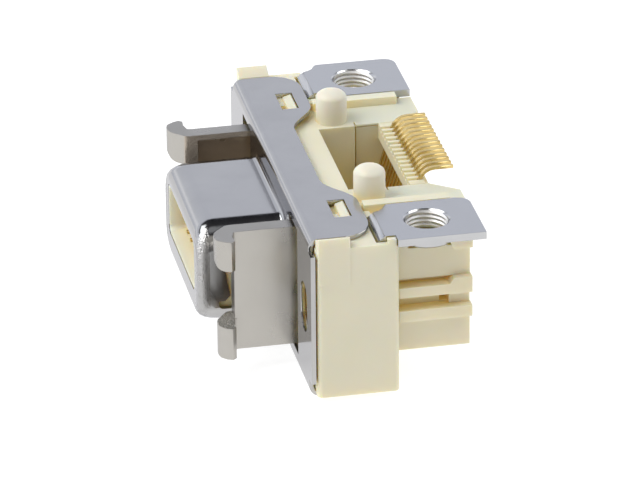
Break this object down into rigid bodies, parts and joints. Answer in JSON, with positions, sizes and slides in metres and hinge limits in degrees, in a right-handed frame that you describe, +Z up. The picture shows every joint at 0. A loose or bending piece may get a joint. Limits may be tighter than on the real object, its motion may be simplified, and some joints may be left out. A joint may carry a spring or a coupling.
{
  "type": "ribbon connector receptacle",
  "caption": "Right angle board receptacle with a metal shell nose, two side latches, ivory housing, gold surface mount tails and two threaded brackets.",
  "frame": {"origin": "middle of the footprint, on the plane that the connector stands on", "axes": "+X from the mating side to the solder tails, +Y along the row of contacts, +Z up to the face that the board lies against"},
  "size_m": [0.0172, 0.0278, 0.0127],
  "materials": {
    "shell": "bright nickel plating",
    "latches": "satin nickel plating",
    "brackets": "satin nickel plating",
    "housing": "moulded, fine matt",
    "carrier": "moulded, fine matt",
    "tail_block": "moulded, fine matt",
    "contacts": "gold plating"
  },
  "bodies": {
    "root": {"front_shell": "shell", "housing": "housing", "contact_carrier": "carrier", "tail_block": "tail_block", "contact_upper_1": "contacts", "contact_upper_2": "contacts", "contact_upper_3": "contacts", "contact_upper_4": "contacts", "contact_upper_5": "contacts", "contact_upper_6": "contacts", "contact_upper_7": "contacts", "contact_lower_1": "contacts", "contact_lower_2": "contacts", "contact_lower_3": "contacts", "contact_lower_4": "contacts", "contact_lower_5": "contacts", "contact_lower_6": "contacts", "contact_lower_7": "contacts", "latch_near": "latches", "latch_far": "latches", "bracket_near": "brackets", "bracket_far": "brackets"}
  },
  "joints": []
}
